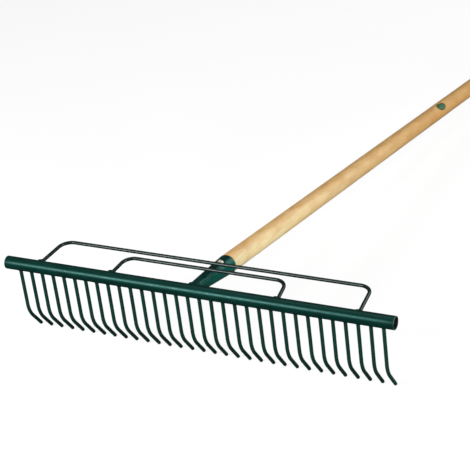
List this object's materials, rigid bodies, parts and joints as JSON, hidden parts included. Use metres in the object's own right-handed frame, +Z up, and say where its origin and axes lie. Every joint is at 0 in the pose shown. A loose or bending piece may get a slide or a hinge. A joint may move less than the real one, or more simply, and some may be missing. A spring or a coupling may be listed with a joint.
{
  "type": "tubular-head rake",
  "caption": "Garden rake with a round tube head, bent wire teeth, two wire guards, a conical sheet socket and a long wooden handle.",
  "frame": {"origin": "on the head tube's axis, half way along the tube", "axes": "+X along the head tube, +Y from the tube towards the handle's end, +Z up. The rake lies as on a floor, on its teeth's tips and its handle's end"},
  "size_m": [0.629, 1.5329, 0.1371],
  "materials": {
    "head_paint": "gloss dark green enamel on steel",
    "guard_paint": "gloss dark grey-green enamel on steel wire",
    "handle_wood": "turned and lightly varnished pale hardwood",
    "screw_zinc": "bright plated steel"
  },
  "bodies": {
    "root": {"guard_weld_beads": "head_paint", "handle": "handle_wood", "head_tube": "head_paint", "inner_guard": "guard_paint", "outer_guard": "guard_paint", "socket": "head_paint", "socket_screw": "screw_zinc", "socket_weld_bead": "head_paint", "tooth_01": "head_paint", "tooth_02": "head_paint", "tooth_03": "head_paint", "tooth_04": "head_paint", "tooth_05": "head_paint", "tooth_06": "head_paint", "tooth_07": "head_paint", "tooth_08": "head_paint", "tooth_09": "head_paint", "tooth_10": "head_paint", "tooth_11": "head_paint", "tooth_12": "head_paint", "tooth_13": "head_paint", "tooth_14": "head_paint", "tooth_15": "head_paint", "tooth_16": "head_paint", "tooth_17": "head_paint", "tooth_18": "head_paint", "tooth_19": "head_paint", "tooth_20": "head_paint", "tooth_21": "head_paint", "tooth_22": "head_paint", "tooth_23": "head_paint", "tooth_24": "head_paint", "tooth_25": "head_paint", "tooth_26": "head_paint", "tooth_27": "head_paint", "tooth_28": "head_paint", "tooth_29": "head_paint", "tooth_30": "head_paint", "tooth_31": "head_paint", "tooth_32": "head_paint", "tooth_weld_beads": "head_paint"}
  },
  "joints": []
}
